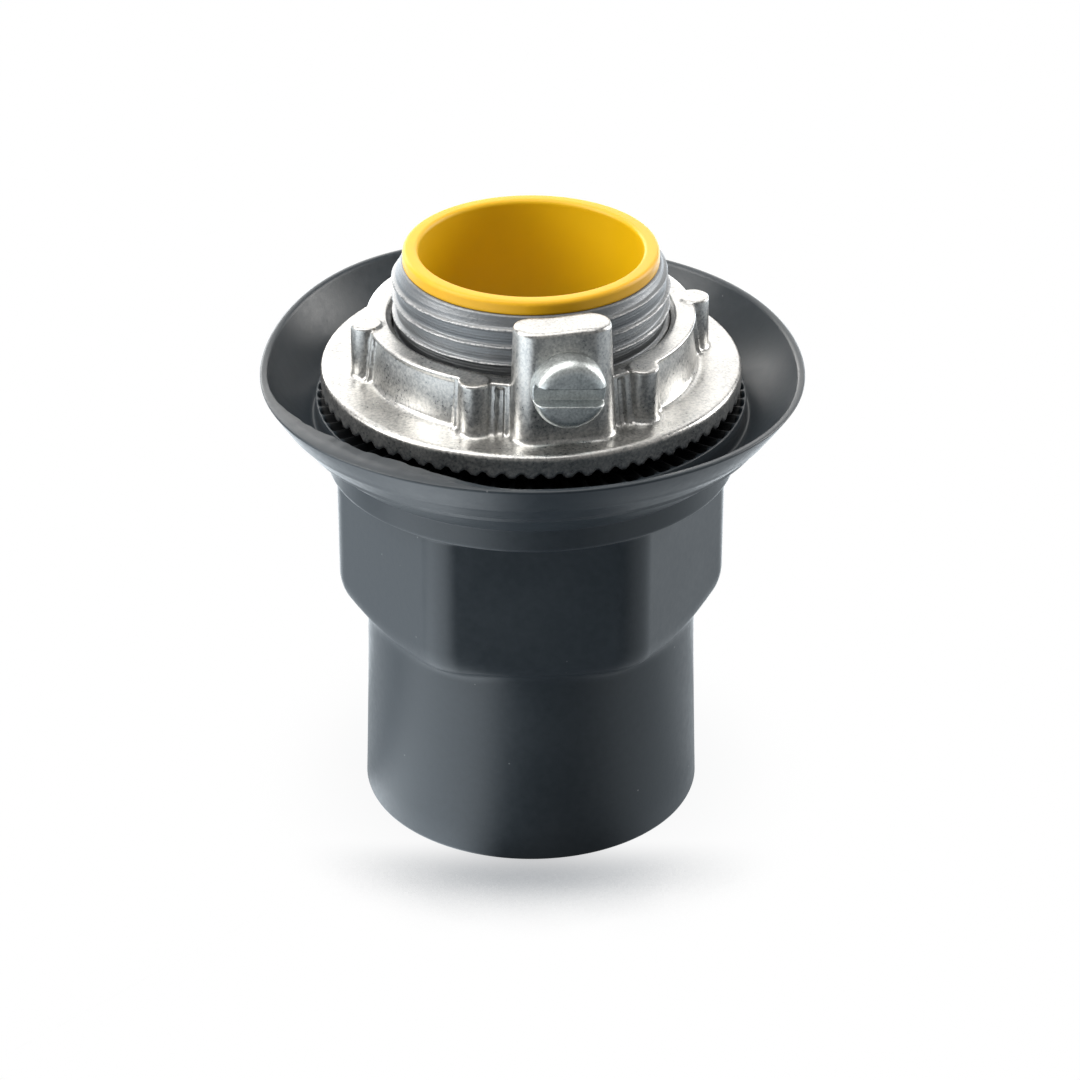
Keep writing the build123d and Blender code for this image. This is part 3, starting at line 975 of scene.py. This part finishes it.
nut_columns = 576
nut_step = (0.3, 2 * math.pi / nut_columns, 0.27)
nut_first = (16.0, -math.pi / 2 + nut_step[1] / 2, 55.6)
nut = level_mesh(
    "cast_nut", nut_solid, nut_first, nut_step, (34, nut_columns, 67), True, ring_space
)
nut.data.materials.append(
    grained_finish(
        "bright_zinc",
        dark=(0.37, 0.375, 0.375),
        light=(0.68, 0.67, 0.645),
        speck=(0.2, 0.2, 0.2),
        scale=260,
        grain_share=0.7,
        rough=(0.26, 0.42),
        relief=0.012,
        metallic=1.0,
    )
)
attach(nut, "lock_nut")
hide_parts("lock_nut")

# Ground screw.
# A machine screw of plated steel with a slotted round head, screwed into the boss until its
# head is seated on the boss's face.
SCREW_Z = 66.3
SCREW_SEAT = 21.92
HEAD_R = 4.3
HEAD_HEIGHT = 3.4
HEAD_ROUND = 1.5
HEAD_CROWN = 0.05
SLOT_HALF_WIDTH = 1.1
SLOT_DEPTH = 1.9
SLOT_TURN = math.radians(-5)
SHANK_R = 2.4
SHANK_LENGTH = 5.0
SHANK_POINT = 0.5


def screw_solid(x, y, z):
    """Distance to the screw, standing on its seat at z = 0: flat round head, slot and shank."""
    radius = np.hypot(x, y)
    crown = HEAD_CROWN * (radius / HEAD_R) ** 2
    head = np.maximum(soft_max(radius - HEAD_R, z - HEAD_HEIGHT + crown, HEAD_ROUND), -z)
    across_slot = y * math.cos(SLOT_TURN) - x * math.sin(SLOT_TURN)
    slot = np.maximum(np.abs(across_slot) - SLOT_HALF_WIDTH, HEAD_HEIGHT - SLOT_DEPTH - z)
    head = soft_max(head, -slot, 0.09)
    shank = np.maximum(radius - SHANK_R, -z - SHANK_LENGTH)
    shank = np.maximum(shank, radius - SHANK_R + SHANK_POINT - z - SHANK_LENGTH)
    return np.minimum(head, np.maximum(shank, z - 0.5))


def same_space(x, y, z):
    """Leaves the grid's coordinates as they are."""
    return x, y, z


screw_first = (-4.6, -4.6, -5.3)
screw_step = (0.14, 0.14, 0.14)
screw = level_mesh(
    "slotted_screw", screw_solid, screw_first, screw_step, (67, 67, 65), False, same_space
)
local = np.empty(len(screw.data.vertices) * 3, np.float32)
screw.data.vertices.foreach_get("co", local)
local = local.reshape(-1, 3)
outward = np.array([math.sin(BOSS_ANGLE), -math.cos(BOSS_ANGLE), 0])
across = np.array([math.cos(BOSS_ANGLE), math.sin(BOSS_ANGLE), 0])
upright = np.array([0, 0, 1])
seat_point = outward * SCREW_SEAT * MM + upright * SCREW_Z * MM
placed = (
    seat_point
    + local[:, :1] * across
    + local[:, 1:2] * upright
    + local[:, 2:] * outward
)
screw.data.vertices.foreach_set("co", placed.astype(np.float32).ravel())
screw.data.update()
screw.data.materials.append(
    grained_finish(
        "plated_steel",
        dark=(0.55, 0.59, 0.59),
        light=(0.84, 0.88, 0.88),
        speck=(0.3, 0.3, 0.3),
        scale=300,
        grain_share=0.75,
        rough=(0.34, 0.46),
        relief=0.012,
        metallic=1.0,
    )
)
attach(screw, "ground_screw")
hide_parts("ground_screw")
